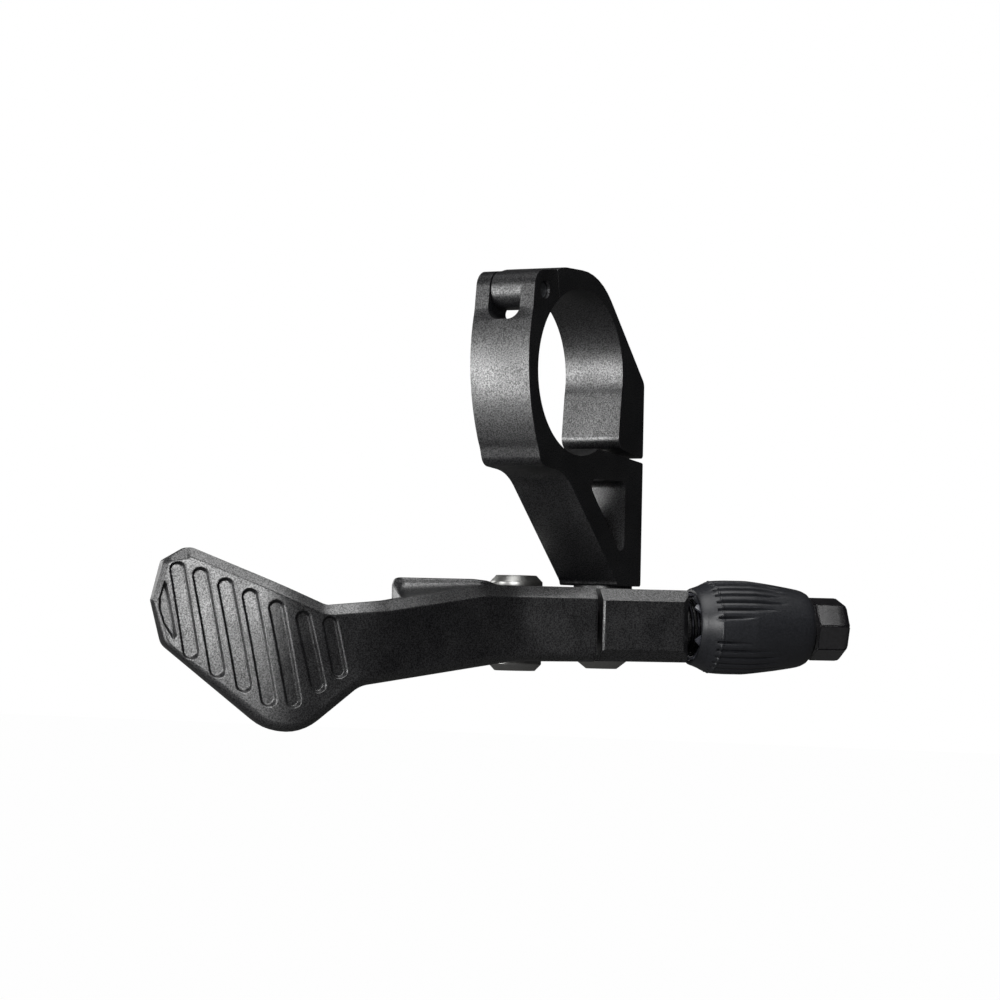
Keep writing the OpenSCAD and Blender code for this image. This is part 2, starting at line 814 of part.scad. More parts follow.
module boss_profile() {
    outline([
        [boss_left - 0.6, lever_top - 3.4, 0.5], [boss_left, boss_top, 1.4],
        [boss_right - 2.6, boss_top, 2.5], [boss_right + 0.4, lever_top - 0.5, 1],
        [boss_right, lever_bottom + 1, 0.5], [boss_left, lever_bottom + 0.2, 0.5]
    ]);
}

module lever() {
    color("#202125")
    on_lever_frame()
        difference() {
            union() {
                lever_skin();
                translate([0, 0, channel_top])
                    linear_extrude(upper_wall) wall_profile();
                translate([0, 0, lever_bottom])
                    linear_extrude(lower_wall) wall_profile();
                // cable boss behind the arm
                translate([0, anchor_face, 0])
                    rotate([90, 0, 0])
                        linear_extrude(boss_depth) boss_profile();
            }
            intersection() {
                groove_shapes();
                groove_layer();
            }
            translate([-pivot_back, pivot_offset, lever_bottom - 1])
                cylinder(r = pivot_r + fit_gap, h = lever_height + 2, $fn = 64);
            // thread and spot face of the cable clamp
            translate([anchor_s, anchor_face + 1, anchor_z])
                rotate([90, 0, 0])
                    cylinder(r = anchor_r, h = anchor_depth + 1, $fn = 48);
            translate([anchor_s, anchor_face, anchor_z])
                rotate([-90, 0, 0])
                    cylinder(r = anchor_plate_r + 0.4, h = cut, $fn = 64);
        }
}

module anchor_bolt() {
    color("#c4c7cb")
    on_lever_frame()
        translate([anchor_s, anchor_face + anchor_plate_t, anchor_z])
            rotate([-90, 0, 0])
                socket_screw(anchor_r, anchor_head_r, anchor_head_h,
                    anchor_depth + anchor_plate_t - 0.5, 0.3, anchor_head_h * 0.6);
}

module anchor_washer() {
    color("#a5a8ac")
    on_lever_frame()
        translate([anchor_s, anchor_face, anchor_z])
            rotate([-90, 0, 0])
                ring_solid(anchor_r + 0.1, anchor_plate_r, 0, anchor_plate_t);
}

// Barrel adjuster

function ring_outer() = nose_d / 2 + 1;

module adjuster_barrel() {
    color("#17181b")
    difference() {
        on_cable_line()
            rotate_extrude($fn = 96)
                polygon([
                    [cable_r, stem_start], [barrel_r - 0.4, stem_start],
                    [barrel_r, stem_start + 0.4], [barrel_r, oring_s - oring_wire / 2],
                    [barrel_r - oring_groove, oring_s - oring_wire / 2],
                    [barrel_r - oring_groove, oring_s + oring_wire / 2],
                    [barrel_r, oring_s + oring_wire / 2], [barrel_r, collar_start],
                    [collar_r, collar_start], [collar_r, sleeve_end + 0.05],
                    [barrel_end_r, sleeve_end + 0.05], [barrel_end_r, barrel_end - 0.7],
                    [barrel_end_r - 0.7, barrel_end], [housing_r, barrel_end],
                    [housing_r, barrel_end - housing_depth], [cable_r, barrel_end - housing_depth]
                ]);
        // flutes round the free end
        on_cable_line()
            for (i = [0 : flute_count - 1])
                rotate([0, 0, 360 * (i + 0.5) / flute_count])
                    translate([barrel_end_r + 0.45, 0, sleeve_end + 0.9])
                        cylinder(r = 1.1, h = cut, $fn = 32);
    }
}

module adjuster_sleeve() {
    rim = sleeve_start;
    color("#1c1d20")
    difference() {
        on_cable_line()
            rotate_extrude($fn = 120)
                polygon([
                    [mouth_r, rim], [mouth_r + 0.45, rim], [sleeve_r - 0.85, rim + 1.5],
                    [sleeve_r - 0.2, rim + 2.8], [sleeve_r, rim + 3.8],
                    [sleeve_r, rim + 7.6], [sleeve_r - 0.15, rim + 9],
                    [sleeve_r - 1, sleeve_end - 1.6], [sleeve_r - 1.15, sleeve_end - 0.8],
                    [sleeve_r - 1.7, sleeve_end], [collar_r + fit_gap, sleeve_end],
                    [collar_r + fit_gap, collar_start - 0.2], [nose_r + 0.25, collar_start - 0.2],
                    [nose_r + 0.25, ring_end + ring_gap], [mouth_r, ring_end + ring_gap]
                ]);
        // two groups of grip ribs, with a plain panel on either side
        on_cable_line()
            for (half = [0, 1])
                for (i = [0 : rib_count - 1])
                    rotate([0, 0, half * 180 + (i - (rib_count - 1) / 2) * 21])
                        rib_groove(i);
    }
}

module rib_groove(i) {
    inset = abs(i - (rib_count - 1) / 2) < 1 ? 1.6 : 0;
    first = sleeve_start + 3 + inset;
    last = sleeve_end - 3.2 - inset;
    translate([-sleeve_r, 0, first])
        rotate([0, atan2(0.9, last - first) * 0.9, 0])
            translate([-1, -rib_width / 2, 0])
                cube([1 + rib_depth, rib_width, last - first]);
}

module detent_ring() {
    color("#3a3c40")
    difference() {
        on_cable_line()
            rotate_extrude($fn = 96)
                polygon([
                    [nose_r + slide_gap, ring_start], [ring_outer(), ring_start],
                    [ring_outer(), ring_end], [nose_r + slide_gap, ring_end]
                ]);
        on_cable_line()
            for (i = [0 : 5])
                rotate([0, 0, 60 * i])
                    translate([ring_outer() + 0.25, 0, ring_start - 1])
                        cylinder(r = 0.8, h = ring_t + 2, $fn = 24);
    }
}

module detent_spring() {
    turns = 2;
    steps = 24 * turns;
    r = nose_r + 0.15 + detent_wire / 2;
    from = block_reach + detent_wire / 2;
    run = ring_start - 0.05 - detent_wire / 2 - from;
    color("#a9adb2")
    on_cable_line()
        skin([for (i = [0 : steps])
            let (a = 360 * turns * i / steps)
            wire_ring([r * cos(a), r * sin(a), from + run * i / steps],
                [cos(a), sin(a), 0], [0, 0, -1], detent_wire / 2)]);
}

module adjuster_oring() {
    color("#101113")
    on_cable_line()
        rotate_extrude($fn = 72)
            translate([barrel_r - oring_groove + oring_wire / 2, oring_s])
                circle(d = oring_wire - fit_gap, $fn = 24);
}

clamp_base();
clamp_jaw();
hinge_pin();
clamp_bolt();
lever_body();
mount_bolt();
pivot_bolt();
pivot_nut();
pivot_bush();
thrust_washer_upper();
thrust_washer_lower();
return_spring();
lever();
anchor_bolt();
anchor_washer();
adjuster_barrel();
adjuster_sleeve();
detent_ring();
detent_spring();
adjuster_oring();
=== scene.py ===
import json
import math

import bmesh
import bpy
import numpy as np
from mathutils import Matrix, Vector

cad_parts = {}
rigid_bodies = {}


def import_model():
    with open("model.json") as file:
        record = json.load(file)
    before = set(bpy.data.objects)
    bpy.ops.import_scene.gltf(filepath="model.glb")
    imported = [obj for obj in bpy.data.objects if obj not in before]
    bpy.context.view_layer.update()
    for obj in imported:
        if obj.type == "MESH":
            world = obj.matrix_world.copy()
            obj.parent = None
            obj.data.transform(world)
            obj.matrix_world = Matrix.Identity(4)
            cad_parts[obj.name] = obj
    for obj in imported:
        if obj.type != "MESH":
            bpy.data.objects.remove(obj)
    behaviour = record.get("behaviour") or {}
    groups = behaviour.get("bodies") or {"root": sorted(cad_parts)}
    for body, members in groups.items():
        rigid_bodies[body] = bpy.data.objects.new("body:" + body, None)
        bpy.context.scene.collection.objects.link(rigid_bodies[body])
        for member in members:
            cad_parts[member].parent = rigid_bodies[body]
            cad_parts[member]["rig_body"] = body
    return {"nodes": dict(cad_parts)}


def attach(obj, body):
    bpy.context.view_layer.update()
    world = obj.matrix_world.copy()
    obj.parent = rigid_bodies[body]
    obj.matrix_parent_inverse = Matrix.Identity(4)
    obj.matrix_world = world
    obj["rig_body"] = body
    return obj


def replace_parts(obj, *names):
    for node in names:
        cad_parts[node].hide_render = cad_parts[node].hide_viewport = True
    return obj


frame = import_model()
nodes = frame["nodes"]


def write_size():
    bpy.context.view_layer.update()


write_size()
scene = bpy.context.scene

# Camera: a long lens a little under half a metre away, level with the lever and
# on the rider's side of it. The paddle points to the left of the picture and the
# barrel adjuster to the right.
stand_m = (0.24688, -0.41217, -0.03307)
heading, pitch, roll = 31.712, 91.9, 1.2
camera = bpy.data.objects.new("camera", bpy.data.cameras.new("camera"))
scene.collection.objects.link(camera)
scene.camera = camera
camera.data.lens = 129.6
camera.data.sensor_width = 36
camera.data.clip_start = 0.05
camera.matrix_world = (
    Matrix.Translation(stand_m)
    @ Matrix.Rotation(math.radians(heading), 4, "Z")
    @ Matrix.Rotation(math.radians(pitch), 4, "X")
    @ Matrix.Rotation(math.radians(roll), 4, "Z")
)
scene.view_settings.view_transform = "Standard"

# Studio: a dim room with a white backdrop and floor. A small softbox on the left
# lights the paddle and the band, one beside the camera fills the fronts, a large
# one hangs overhead and a weak one stands behind.
part_middle = Vector((-0.005, 0.0, -0.018))


def add_node(tree, kind, values=None, links=None, **settings):
    node = tree.nodes.new(kind)
    for key, value in settings.items():
        setattr(node, key, value)
    for socket, value in (values or {}).items():
        node.inputs[socket].default_value = value
    for socket, source in (links or {}).items():
        tree.links.new(source, node.inputs[socket])
    return node


def softbox(name, direction, distance, size, power):
    # the direction is [right, up, back] as the camera sees it
    toward = (camera.matrix_world.to_3x3() @ Vector(direction)).normalized()
    lamp = bpy.data.lights.new(name, "AREA")
    lamp.shape = "RECTANGLE"
    lamp.size, lamp.size_y = size
    lamp.energy = power
    box = bpy.data.objects.new(name, lamp)
    scene.collection.objects.link(box)
    box.location = part_middle + toward * distance
    box.rotation_euler = toward.to_track_quat("Z", "Y").to_euler()


softbox("softbox_left", (-0.88, -0.02, 0.47), 0.6, (0.28, 0.26), 2.3)
softbox("softbox_near", (-0.19, 0.2, 1.0), 0.7, (0.24, 0.24), 2.7)
softbox("softbox_top", (0.08, 1.0, 0.3), 0.6, (0.6, 0.55), 3.5)
softbox("softbox_back", (-0.8, 0.3, -0.7), 0.6, (0.3, 0.3), 1.0)


def white_room():
    # white where the camera looks past the part, and a faint fill elsewhere
    world = bpy.data.worlds.new("room")
    scene.world = world
    world.use_nodes = True
    tree = world.node_tree
    fill = tree.nodes["Background"]
    fill.inputs["Color"].default_value = (1, 1, 1, 1)
    fill.inputs["Strength"].default_value = 0.015
    white = add_node(tree, "ShaderNodeBackground", {"Color": (1, 1, 1, 1), "Strength": 1.0})
    seen = add_node(tree, "ShaderNodeLightPath").outputs["Is Camera Ray"]
    room = add_node(tree, "ShaderNodeMixShader", links={
        "Fac": seen, 1: fill.outputs[0], 2: white.outputs[0],
    })
    tree.links.new(room.outputs[0], tree.nodes["World Output"].inputs["Surface"])


white_room()


def floor_plane():
    # white to the camera, and dark to the lamps so that the undersides stay black
    size, height = 3.0, -0.16
    mesh = bpy.data.meshes.new("floor")
    corners = [(-size, -size), (size, -size), (size, size), (-size, size)]
    mesh.from_pydata([(x, y, height) for x, y in corners], [], [(0, 1, 2, 3)])
    floor = bpy.data.objects.new("floor", mesh)
    scene.collection.objects.link(floor)
    paint = bpy.data.materials.new("white paper")
    paint.use_nodes = True
    tree = paint.node_tree
    paper = tree.nodes["Principled BSDF"]
    paper.inputs["Base Color"].default_value = (0.1, 0.1, 0.1, 1)
    paper.inputs["Roughness"].default_value = 0.9
    glow = add_node(tree, "ShaderNodeEmission", {"Color": (1, 1, 1, 1), "Strength": 1.0})
    seen = add_node(tree, "ShaderNodeLightPath").outputs["Is Camera Ray"]
    share = add_node(tree, "ShaderNodeMath", {1: 0.99}, {0: seen}, operation="MULTIPLY")
    both = add_node(tree, "ShaderNodeMixShader", links={
        "Fac": share.outputs[0], 1: paper.outputs[0], 2: glow.outputs[0],
    })
    tree.links.new(both.outputs[0], tree.nodes["Material Output"].inputs["Surface"])
    mesh.materials.append(paint)


floor_plane()

# Handlebar clamp: two halves milled from aluminium bar, then bead blasted and
# anodised black. The base half carries the arm and the foot, and the jaw swings
# on a steel pin above the bar.
MM = 0.001
clamp_edge = 0.16


def srgb(code):
    parts = [int(code[i:i + 2], 16) / 255 for i in (1, 3, 5)]
    linear = [c / 12.92 if c <= 0.04045 else ((c + 0.055) / 1.055) ** 2.4 for c in parts]
    return (*linear, 1.0)


def grained(name, dark, light, rough, grain_mm, depth_mm, gloss_mm=None, detail=2.0):
    # a surface whose grains differ a little in colour and height, and whose
    # roughness drifts between two values over patches of gloss_mm
    finish = bpy.data.materials.new(name)
    finish.use_nodes = True
    tree = finish.node_tree
    shader = tree.nodes["Principled BSDF"]
    coords = add_node(tree, "ShaderNodeTexCoord").outputs["Object"]
    grain, patches = [
        add_node(tree, "ShaderNodeTexNoise",
                 {"Scale": 1 / (size * MM), "Detail": detail, "Roughness": 0.6},
                 {"Vector": coords}).outputs["Fac"]
        for size in (grain_mm, gloss_mm or grain_mm)
    ]
    share = add_node(tree, "ShaderNodeMapRange",
                     {"From Min": 0.35, "From Max": 0.65, "To Min": 0, "To Max": 1},
                     {"Value": grain}).outputs["Result"]
    colour = add_node(tree, "ShaderNodeMix", {"A": srgb(dark), "B": srgb(light)},
                      {"Factor": share}, data_type="RGBA").outputs["Result"]
    gloss = add_node(tree, "ShaderNodeMapRange",
                     {"From Min": 0.35, "From Max": 0.65, "To Min": rough[0], "To Max": rough[1]},
                     {"Value": patches}).outputs["Result"]
    relief = add_node(tree, "ShaderNodeBump", {"Strength": 1.0, "Distance": depth_mm * MM},
                      {"Height": grain}).outputs["Normal"]
    tree.links.new(colour, shader.inputs["Base Color"])
    tree.links.new(gloss, shader.inputs["Roughness"])
    tree.links.new(relief, shader.inputs["Normal"])
    return finish, grain


def anodised(name, dark, light, rough, grain_mm=0.18, depth_mm=0.008, dullest=0.3):
    # dyed aluminium oxide. Blasting leaves fine dimples, which show as a dark
    # speckle because the shine is weaker in them. The grain is drawn about twice
    # as coarse as the real one so that it shows.
    oxide_ior = 1.77
    finish, grain = grained(name, dark, light, rough, grain_mm, depth_mm, gloss_mm=6.0)
    tree = finish.node_tree
    shader = tree.nodes["Principled BSDF"]
    shine = add_node(tree, "ShaderNodeMapRange",
                     {"From Min": 0.38, "From Max": 0.64, "To Min": dullest, "To Max": 1.0},
                     {"Value": grain})
    tree.links.new(shine.outputs["Result"], shader.inputs["Specular IOR Level"])
    shader.inputs["IOR"].default_value = oxide_ior
    return finish


# a soft grey sheen with a speckle
clamp_black = anodised("black anodised, bead blasted", "#040405", "#121215", (0.36, 0.45))
# a thin lighter grey line along the rounded edges, a painted highlight that stands for their shine
painted_edge_highlight = anodised("black edge, painted highlight", "#4a4a4e", "#6e6e72", (0.3, 0.39))


def softened(name, width_mm, finish, edge_highlight=None, reshape=None):
    # the CAD solid with its sharp edges broken by a small round
    part = nodes[name]
    mesh = part.data.copy()
    mesh.name = name + "_form"
    bm = bmesh.new()
    bm.from_mesh(mesh)
    bmesh.ops.remove_doubles(bm, verts=bm.verts, dist=0.002 * MM)
    bmesh.ops.dissolve_limit(bm, angle_limit=math.radians(0.4), verts=bm.verts, edges=bm.edges)
    if reshape:
        reshape(bm)
    sharp = [e for e in bm.edges
             if len(e.link_faces) == 2 and e.calc_face_angle(0) > math.radians(28)]
    edges = bmesh.ops.bevel(bm, geom=sharp, offset=width_mm * MM, offset_type="OFFSET", segments=2,
                            profile=0.5, affect="EDGES", clamp_overlap=True, harden_normals=False)
    for face in bm.faces:
        face.material_index = 0
    # the rounds take the second finish, whose lighter grey is a painted edge highlight
    for face in edges["faces"]:
        face.material_index = 1 if edge_highlight else 0
    bmesh.ops.triangulate(bm, faces=[f for f in bm.faces if len(f.verts) > 4])
    mesh.materials.clear()
    mesh.materials.append(finish)
    if edge_highlight:
        mesh.materials.append(edge_highlight)
    bm.to_mesh(mesh)
    bm.free()
    mesh.shade_smooth()
    piece = bpy.data.objects.new(name + "_look", mesh)
    scene.collection.objects.link(piece)
    flat = piece.modifiers.new("flat faces", "WEIGHTED_NORMAL")
    flat.weight = 100
    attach(piece, part["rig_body"])
    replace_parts(piece, name)


def fuller_band(bm):
    # the rider's side of the band bulges gently between the shoulder over the
    # arm and the ears of the fork
    shoulder_z, ears_z = -10.8, 8.5
    fullest_y, fullest_z, bulge_r = -13.5, 1.2, 25
    for z in np.arange(shoulder_z, 8, 0.4):
        outer = [f for f in bm.faces if f.normal.y < -0.3]
        edges = dict.fromkeys(e for f in outer for e in f.edges)
        corners = dict.fromkeys(v for f in outer for v in f.verts)
        bmesh.ops.bisect_plane(bm, geom=outer + list(edges) + list(corners), plane_co=(0, 0, z * MM),
                               plane_no=(0, 0, 1), dist=0.001 * MM)
    for v in bm.verts:
        y, z = v.co.y / MM, v.co.z / MM
        on_wall = y < -11.3 or (y < -10 and z < -7)
        if on_wall and shoulder_z < z < ears_z:
            share = np.interp(z, [shoulder_z, -9.8, 6.5, ears_z], [0, 1, 1, 0])
            full = fullest_y + (z - fullest_z) ** 2 / (2 * bulge_r)
            v.co.y += share * (full - y) * MM


softened("clamp_base", clamp_edge, clamp_black, painted_edge_highlight, fuller_band)
softened("clamp_jaw", clamp_edge, clamp_black, painted_edge_highlight)

# Screws and pin: cold headed steel, zinc plated, with hex sockets. The jaw's
# hinge pin and the plate that clamps the cable are plain ground steel.
screw_edge = 0.06


def steel(name, dark, light, rough):
    # bare or plated metal with a fine grain, so that its highlights are soft
    finish = grained(name, dark, light, rough, 0.2, 0.0012, detail=3.0)[0]
    finish.node_tree.nodes["Principled BSDF"].inputs["Metallic"].default_value = 1.0
    return finish


def repaint(name, finish):
    mesh = nodes[name].data
    mesh.materials.clear()
    mesh.materials.append(finish)


# light silver
zinc_plated = steel("zinc plated steel", "#a5a5a3", "#b4b4b1", (0.34, 0.43))
for name in ("clamp_bolt", "mount_bolt", "pivot_bolt", "pivot_nut", "anchor_bolt"):
    softened(name, screw_edge, zinc_plated)
# a cooler, darker silver
ground_steel = steel("ground steel", "#85888c", "#a4a7ab", (0.31, 0.4))
for name in ("hinge_pin", "anchor_washer"):
    repaint(name, ground_steel)

# Lever body: milled aluminium block that one screw holds under the foot, with
# the tongue that carries the pivot and the nose that the barrel screws into.
body_edge = 0.14
# as the clamp's black, a shade darker
lever_black = anodised("black anodised, fine blasted", "#040405", "#111114", (0.36, 0.45))
softened("lever_body", body_edge, lever_black)

# Pivot: a sintered bush pressed into the tongue, two plastic thrust washers and
# a return spring wound from wire, held between the lever's walls.


def moulded(name, dark, light, rough, grain_mm, depth_mm):
    # plastic or rubber with the fine texture of its mould
    return grained(name, dark, light, rough, grain_mm, depth_mm)[0]


# a dull brown metal
bronze = steel("sintered bronze", "#7a5a2c", "#a57f45", (0.41, 0.5))
repaint("pivot_bush", bronze)
# a waxy off-white
acetal = moulded("white acetal", "#c9c5b8", "#dedacd", (0.45, 0.55), 0.4, 0.004)
for name in ("thrust_washer_upper", "thrust_washer_lower"):
    repaint(name, acetal)
# nearly black, with a dim metal shine: the dark colour is painted shade, for the
# hollows where the springs sit. The adjuster's spring is of the same wire
shaded_spring_wire = steel("spring wire, painted shade", "#101012", "#1c1c1f", (0.41, 0.5))
for name in ("return_spring", "detent_spring"):
    repaint(name, shaded_spring_wire)

# Thumb lever: one piece, forged and milled from aluminium, then blasted and
# anodised as the body. Thumb grooves cross the paddle inside a chamfered rim.
# Drawn in millimetres [along the cable line, away from the rider, up], from the
# place on that line that lies over the mount screw.
mount_place = (2.943, 12.041)
cable_heading = 49
lever_frame = (Matrix.Translation((mount_place[0] * MM, mount_place[1] * MM, 0))
               @ Matrix.Rotation(math.radians(cable_heading), 4, "Z"))


def rounded(corners):
    # a line through [along, across, radius] corners, with arcs at the corners
    points = [np.array(corners[0][:2], float)]
    for before, here, after in zip(corners, corners[1:], corners[2:]):
        corner = np.array(here[:2], float)
        back = np.array(before[:2]) - corner
        ahead = np.array(after[:2]) - corner
        back, ahead = back / np.linalg.norm(back), ahead / np.linalg.norm(ahead)
        half = math.acos(float(np.clip(back @ ahead, -1, 1))) / 2
        middle = (back + ahead) / np.linalg.norm(back + ahead)
        centre = corner + middle * here[2] / math.sin(half)
        start = corner + back * here[2] / math.tan(half) - centre
        leftward = back[0] * ahead[1] - back[1] * ahead[0] > 0
        sweep = (math.pi - 2 * half) * (-1 if leftward else 1)
        for angle in np.linspace(0, sweep, 11):
            cos, sin = math.cos(angle), math.sin(angle)
            points.append(centre + np.array(((cos, -sin), (sin, cos))) @ start)
    points.append(np.array(corners[-1][:2], float))
    return np.array(points)


def value_at(line, place):
    # a line is [place, value] pairs
    places, values = zip(*line)
    return np.interp(place, places, values)


def line_distance(points, a, b):
    # distance of each point from the straight piece a to b
    share = np.clip(((points - a) @ (b - a)) / ((b - a) @ (b - a)), 0, 1)
    return np.linalg.norm(points - a - share[:, None] * (b - a), axis=1)


def eased(x):
    x = np.clip(x, 0, 1)
    return x * x * (3 - 2 * x)


TIP, LEVER_END = -64.7, -3.7
# seen from the rider: the upper and the lower outline
lever_top = rounded([
    (TIP, -31.5, 0), (-63.4, -26.4, 0.8), (-60.2, -24.4, 1.6),
    (-42.6, -31.7, 3), (-34, -30.9, 8), (-20, -28.5, 6), (LEVER_END, -28.5, 0),
])
lever_low = rounded([
    (TIP, -31.5, 0), (-63.1, -37.2, 2.5), (-47.6, -50.1, 6.5),
    (-37.9, -42.1, 4), (-15, -38.6, 8), (LEVER_END, -38.5, 0),
])
# seen from above: the face on the rider's side, and the thickness behind it
lever_front = rounded([
    (TIP - 1, -6.2, 0), (-49, -11.8, 16), (-37, -11.4, 14), (-15, -5, 3), (LEVER_END, -5, 0),
])
thickness = [
    (TIP, 2.7), (-63, 3.8), (-44, 4.2), (-37, 5.2),
    (-28, 6.8), (-17.8, 6.8), (-17.4, 2.2), (LEVER_END, 2.2),
]
rim_above = [(-62.5, 0.5), (-60.5, 1.2), (-40, 1.25), (-22, 1.5)]
rim_below = [(-61, 0.6), (-52, 1.1), (-40, 1.4), (-22, 1.5)]
back_round = 0.7
# upper and lower end of each groove's middle line
thumb_grooves = [
    ((-61.7, -27.5), (-59.9, -38)), ((-58.9, -28.2), (-56.6, -40.3)),
    ((-55.8, -29.5), (-53.3, -42.1)), ((-52.8, -30.8), (-50.2, -43.9)),
    ((-49.5, -32.2), (-47, -44)), ((-46, -33.5), (-43.8, -42)),
    ((-42.4, -34.1), (-41, -40.1)),
]
leaf_groove = [
    (-63.35, -28.8), (-62.9, -29.4), (-61.6, -35.9), (-62.1, -36.6),
    (-63.4, -34.6), (-64, -32.6), (-64, -31.2),
]
groove_width, deepest, groove_wall = 2.15, 0.6, 0.36


def groove_depth(points):
    inside = np.full(len(points), -9.0)
    for a, b in thumb_grooves:
        off_middle = line_distance(points, np.array(a), np.array(b))
        inside = np.maximum(inside, groove_width / 2 - off_middle)
    leaf = np.full(len(points), 9.0)
    for a, b in zip(leaf_groove, leaf_groove[1:] + leaf_groove[:1]):
        edge = np.array(b) - np.array(a)
        outward = np.array((edge[1], -edge[0])) / -np.linalg.norm(edge)
        leaf = np.minimum(leaf, (np.array(a) - points) @ outward)
    down = np.maximum(inside, leaf) / groove_wall
    return deepest * (0.7 * np.clip(down, 0, 1) + 0.3 * eased(down))


def rim_chamfer(inside, rim):
    # a chamfer of that width with a small round where it meets the face
    x = rim - inside
    return 0.85 * (x + np.sqrt(x * x + 0.02)) / 2


def rim_round(inside, rim):
    x = np.clip(rim - inside, 0, rim)
    return rim - np.sqrt(np.maximum(rim * rim - x * x, 0))


def edge_distance(outline, along, points):
    reach = 3
    inside = np.full(len(points), 9.0)
    for a, b in zip(outline, outline[1:]):
        if min(a[0], b[0]) - reach < along < max(a[0], b[0]) + reach:
            inside = np.minimum(inside, line_distance(points, a, b))
    return inside


def lever_skin():
    # rings of points round the lever, close together where the grooves are
    stations = np.concatenate([
        np.arange(TIP + 0.04, -38, 0.09), np.arange(-38, -18, 0.5), (-17.8, -17.4),
        np.arange(-17, LEVER_END, 1.2), (LEVER_END - 0.25, LEVER_END),
    ])
    even = np.linspace(0, 1, 221)
    front_rows = 0.35 * (1 - np.cos(math.pi * even)) / 2 + 0.65 * even
    back_rows = (1 + np.cos(np.linspace(0, math.pi, 33))) / 2
    vertices = []
    for along in stations:
        low = value_at(lever_low, along)
        top = value_at(lever_top, along)
        front = value_at(lever_front, along)
        # the paddle's face is a little hollow from top to bottom
        hollow = 0.004 * value_at([(-44, 1), (-30, 0)], along)
        for rows in (front_rows, back_rows):
            z = low + (top - low) * rows
            points = np.stack([np.full(len(z), along), z], axis=1)
            to_top = edge_distance(lever_top, along, points)
            to_low = edge_distance(lever_low, along, points)
            if rows is front_rows:
                rim = np.maximum(rim_chamfer(to_top, value_at(rim_above, along)),
                                 rim_round(to_low, value_at(rim_below, along)))
                y = front + rim + hollow * (z + 36) ** 2 + groove_depth(points)
            else:
                y = front + value_at(thickness, along) - rim_round(np.minimum(to_top, to_low), back_round)
            vertices.extend(zip(points[:, 0], y, z))
    count = len(front_rows) + len(back_rows)
    faces = []
    for i in range(len(stations) - 1):
        for j in range(count):
            k = (j + 1) % count
            faces.append((i * count + j, i * count + k, (i + 1) * count + k, (i + 1) * count + j))
    faces.append(tuple(range(count)))
    faces.append(tuple(reversed(range((len(stations) - 1) * count, len(stations) * count))))
    return vertices, faces


def make_piece(name, vertices, faces, finish, body, crease=40):
    mesh = bpy.data.meshes.new(name)
    mesh.from_pydata([lever_frame @ (Vector(v) * MM) for v in vertices], [], faces)
    mesh.validate()
    bm = bmesh.new()
    bm.from_mesh(mesh)
    bmesh.ops.remove_doubles(bm, verts=bm.verts, dist=0.001 * MM)
    bmesh.ops.recalc_face_normals(bm, faces=bm.faces)
    bm.to_mesh(mesh)
    bm.free()
    mesh.materials.append(finish)
    mesh.shade_smooth()
    mesh.set_sharp_from_angle(angle=math.radians(crease))
    piece = bpy.data.objects.new(name, mesh)
    scene.collection.objects.link(piece)
    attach(piece, body)
    return piece


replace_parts(make_piece("lever_arm", *lever_skin(), lever_black, "thumb_lever"), "lever")

# Lever walls: two flat ears milled in one piece with the lever, above and below
# the body's tongue, that hold the pivot bolt.
wall_edge = 0.2
wall_corners = [
    (LEVER_END, -3.4, 0.3), (LEVER_END, -2.2, 1), (-6.8, 4.5, 3), (-6.8, 11.3, 4.6),
    (-16.4, 11.3, 4.6), (-20.3, -1, 3), (-20.3, -3.4, 0.3),
]
wall_outline = rounded(wall_corners[-1:] + wall_corners + wall_corners[:1])[1:-1]


def lever_wall(name, low, high):
    count = len(wall_outline)
    vertices = [(x, y, z) for z in (low, high) for x, y in wall_outline]
    faces = [tuple(reversed(range(count))), tuple(range(count, 2 * count))]
    faces += [(i, (i + 1) % count, count + (i + 1) % count, count + i) for i in range(count)]
    piece = make_piece(name, vertices, faces, lever_black, "thumb_lever")
    rounding = piece.modifiers.new("edges", "BEVEL")
    rounding.width = wall_edge * MM
    rounding.segments = 3
    rounding.limit_method = "ANGLE"
    rounding.angle_limit = math.radians(40)
    flat = piece.modifiers.new("flat faces", "WEIGHTED_NORMAL")
    flat.weight = 100


lever_wall("lever_upper_wall", -30.3, -28.5)
lever_wall("lever_lower_wall", -38.5, -36.9)

# Cable boss: part of the same forging, a scooped stand that rises out of the
# arm's top and takes the cable clamp on its far side.
boss_start, boss_end = -31.2, -17.3
boss_back, boss_round = -0.6, 0.3
boss_top = [
    (boss_start, -28.5), (-31.05, -28.1), (-30.8, -27.87), (-30.4, -27.75),
    (-21, -27.75), (-19, -27.95), (boss_end, -28.55),
]
boss_face = [(boss_start, -1.2), (-30.2, -2.3), (-20, -4.6), (boss_end, -4.3)]


def boss_skin():
    vertices = []
    stations = np.concatenate([(boss_start, -31.05, -30.8, -30.4), np.arange(-30, -17.4, 0.4), (boss_end,)])
    for along in stations:
        top, face = value_at(boss_top, along), value_at(boss_face, along)
        foot = value_at(lever_top, along) - 0.05
        start = min(value_at(lever_front, along) + 1.7, face - 0.05)
        ring = [(start, foot - 2.5), (start, foot)]
        for angle in np.radians(np.arange(9, 90, 9)):
            out, up = math.sin(angle), 1 - math.cos(angle)
            ring.append((start + (face - start) * out, foot + (top - boss_round - foot) * up))
        ring += [(face, top - boss_round), (face + 0.1, top - 0.1), (face + boss_round, top)]
        ring += [(boss_back - boss_round, top), (boss_back, top - boss_round), (boss_back, foot - 2.5)]
        vertices.extend((along, y, z) for y, z in ring)
    count = len(ring)
    last = len(stations) - 1
    faces = []
    for i in range(last):
        for j in range(count):
            k = (j + 1) % count
            faces.append((i * count + j, i * count + k, (i + 1) * count + k, (i + 1) * count + j))
    faces += [tuple(range(count)), tuple(reversed(range(last * count, (last + 1) * count)))]
    return vertices, faces


make_piece("cable_boss", *boss_skin(), lever_black, "thumb_lever", 50)

